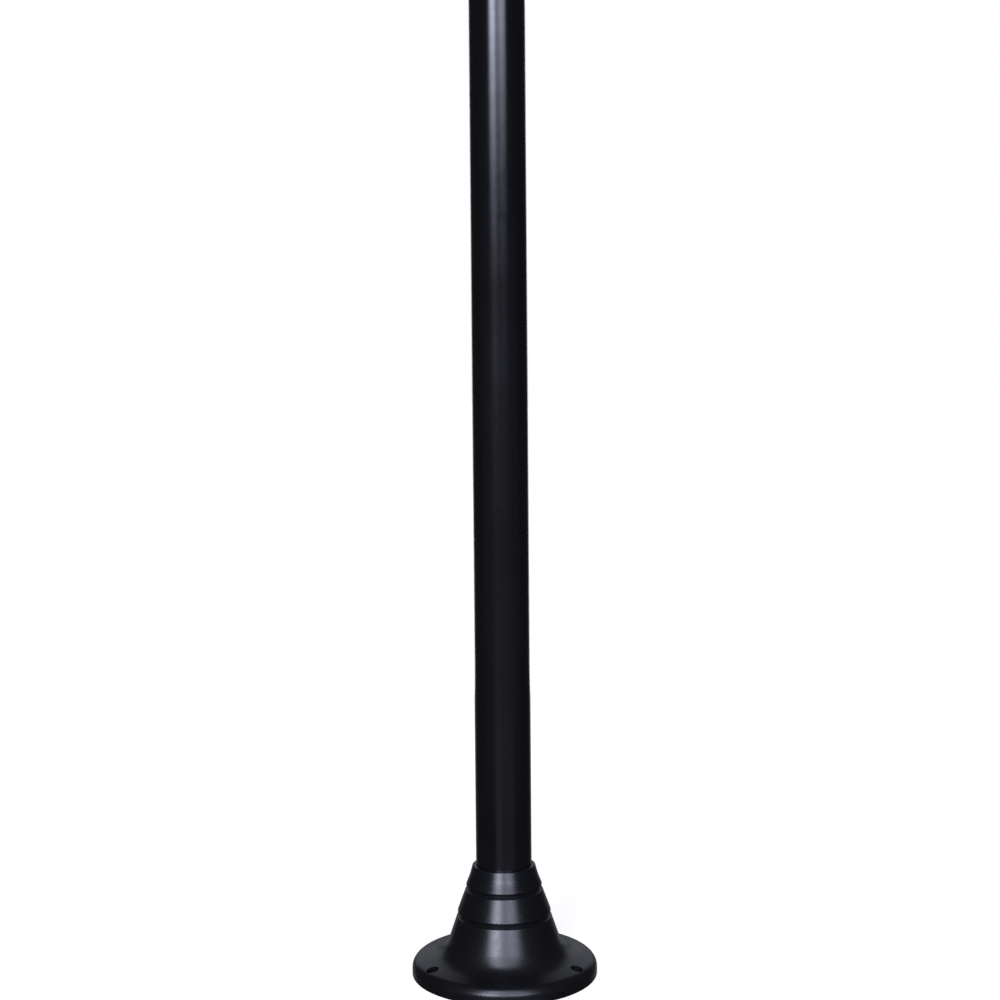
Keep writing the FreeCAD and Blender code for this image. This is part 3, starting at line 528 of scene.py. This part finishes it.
class Sky(Nodes):
    """The world's node tree, with its azimuth and elevation in degrees."""

    def __init__(self, world):
        world.use_nodes = True
        super().__init__(world.node_tree)
        axes = self.node("ShaderNodeSeparateXYZ")
        self.link(self.node("ShaderNodeTexCoord").outputs["Generated"], axes.inputs["Vector"])
        x, y, z = axes.outputs
        degrees = 180 / math.pi
        self.azimuth = self.times(self.maths("ARCTAN2", x, self.times(y, -1.0)), degrees)
        self.elevation = self.times(self.maths("ARCSINE", z), degrees)

    def smooth(self, value, dark, full):
        made = self.node("ShaderNodeMapRange", interpolation_type="SMOOTHSTEP")
        made.inputs["From Min"].default_value = dark
        made.inputs["From Max"].default_value = full
        self.link(value, made.inputs["Value"])
        return made.outputs["Result"]

    def patches(self, row, foot, top):
        """Patches of light side by side, between a fade at their foot and one at their top."""
        total = 0.0
        for middle, half_width, strength in row:
            around = self.maths("FLOORED_MODULO", self.plus(self.azimuth, 180.0 - middle), 360.0)
            aside = self.maths("ABSOLUTE", self.maths("SUBTRACT", around, 180.0))
            patch = self.smooth(aside, half_width + PATCH_EDGE, half_width - PATCH_EDGE)
            total = self.plus(self.times(patch, strength), total)
        band = self.times(self.smooth(self.elevation, *foot), self.smooth(self.elevation, *top))
        return self.times(band, total)

    def background(self, colour, strength=None):
        made = self.node("ShaderNodeBackground")
        made.inputs["Color"].default_value = colour
        if strength:
            self.link(strength, made.inputs["Strength"])
        return made.outputs["Background"]


def studio():
    """White for the camera; for the object, a dim room with soft boxes in front of it."""
    world = bpy.data.worlds.new("studio")
    scene.world = world
    sky = Sky(world)
    bright = sky.plus(sky.times(sky.smooth(sky.elevation, *BOX_BRIGHT), BOX_EXTRA), BOX_STRENGTH)
    light = sky.times(sky.patches(SOFT_BOXES, BOX_FOOT, BOX_TOP), bright)
    for row, foot, top in GLOWS:
        light = sky.plus(light, sky.patches(row, foot, top))
    both = sky.node("ShaderNodeMixShader")
    sky.link(sky.node("ShaderNodeLightPath").outputs["Is Camera Ray"], both.inputs[0])
    sky.link(sky.background(ROOM_TINT, sky.plus(light, ROOM_LIGHT)), both.inputs[1])
    sky.link(sky.background(WHITE), both.inputs[2])
    sky.link(both.outputs["Shader"], sky.node("ShaderNodeOutputWorld").inputs["Surface"])


def light_panel(name, target, azimuth, elevation, distance, size, power, receivers):
    """A soft panel that faces its target, unseen by the camera, lighting only its receivers."""
    a, e = math.radians(azimuth), math.radians(elevation)
    outward = Vector((math.sin(a) * math.cos(e), -math.cos(a) * math.cos(e), math.sin(e)))
    light = bpy.data.lights.new(name, "AREA")
    light.shape = "RECTANGLE"
    light.size, light.size_y = size
    light.energy = power
    panel = bpy.data.objects.new(name, light)
    scene.collection.objects.link(panel)
    aim = outward.to_track_quat("Z", "Y").to_matrix().to_4x4()
    panel.matrix_world = Matrix.Translation(target + outward * distance) @ aim
    panel.visible_camera = False
    panel.light_linking.receiver_collection = receivers


def collection_of(name, pieces):
    made = bpy.data.collections.new(name)
    for piece in pieces:
        made.objects.link(piece)
    return made


def lowest(piece):
    return min((piece.matrix_world @ Vector(corner)).z for corner in piece.bound_box)


def side_and_back_lights():
    """Soft panels out of the picture, so that the head and the post read from every side."""
    head_pieces = [p for p in scene.objects if p.type == "MESH" and lowest(p) > HEAD_FOOT_Z]
    head = collection_of("head_pieces", head_pieces)
    centre = Vector((0.0, 0.0, DRUM_Z))
    for number, (azimuth, elevation, power) in enumerate(HEAD_LIGHTS):
        light_panel("head_light_%d" % number, centre, azimuth, elevation, HEAD_LIGHT_DISTANCE,
                    HEAD_LIGHT_SIZE, power, head)
    post = collection_of("post_pieces", [nodes["post_tube"]])
    light_panel("post_light", Vector((0.0, 0.0, POST_LIGHT_Z)), 180.0, 0.0, POST_LIGHT_DISTANCE,
                POST_LIGHT_SIZE, POST_LIGHT_POWER, post)


# ---- camera --------------------------------------------------------------------------------------
CAMERA_PLACE = (0.0026, -1.7336, 0.6406)
CAMERA_PITCH, CAMERA_YAW, CAMERA_ROLL = 4.220, -0.116, -0.479    # degrees; it looks down by the pitch
SENSOR_WIDTH, LENS = 36.0, 58.90                                 # mm
CLIP_START, CLIP_END = 0.05, 100.0


def photo_camera():
    """Close to the post and a little above its base, looking slightly down at it."""
    pitch, yaw, roll = (math.radians(a) for a in (CAMERA_PITCH, CAMERA_YAW, CAMERA_ROLL))
    level = math.cos(pitch)
    forward = Vector((math.sin(yaw) * level, math.cos(yaw) * level, -math.sin(pitch)))
    right = Vector((math.cos(yaw), -math.sin(yaw), 0.0))
    up = right.cross(forward)
    rolled_right = right * math.cos(roll) + up * math.sin(roll)
    rolled_up = up * math.cos(roll) - right * math.sin(roll)
    turn = Matrix((rolled_right, rolled_up, -forward)).transposed()
    camera = bpy.data.objects.new("camera", bpy.data.cameras.new("camera"))
    scene.collection.objects.link(camera)
    camera.matrix_world = Matrix.Translation(CAMERA_PLACE) @ turn.to_4x4()
    camera.data.sensor_width = SENSOR_WIDTH
    camera.data.lens = LENS
    camera.data.clip_start = CLIP_START
    camera.data.clip_end = CLIP_END
    scene.camera = camera


pale_floor()
studio()
side_and_back_lights()
photo_camera()
scene.view_settings.view_transform = "Standard"
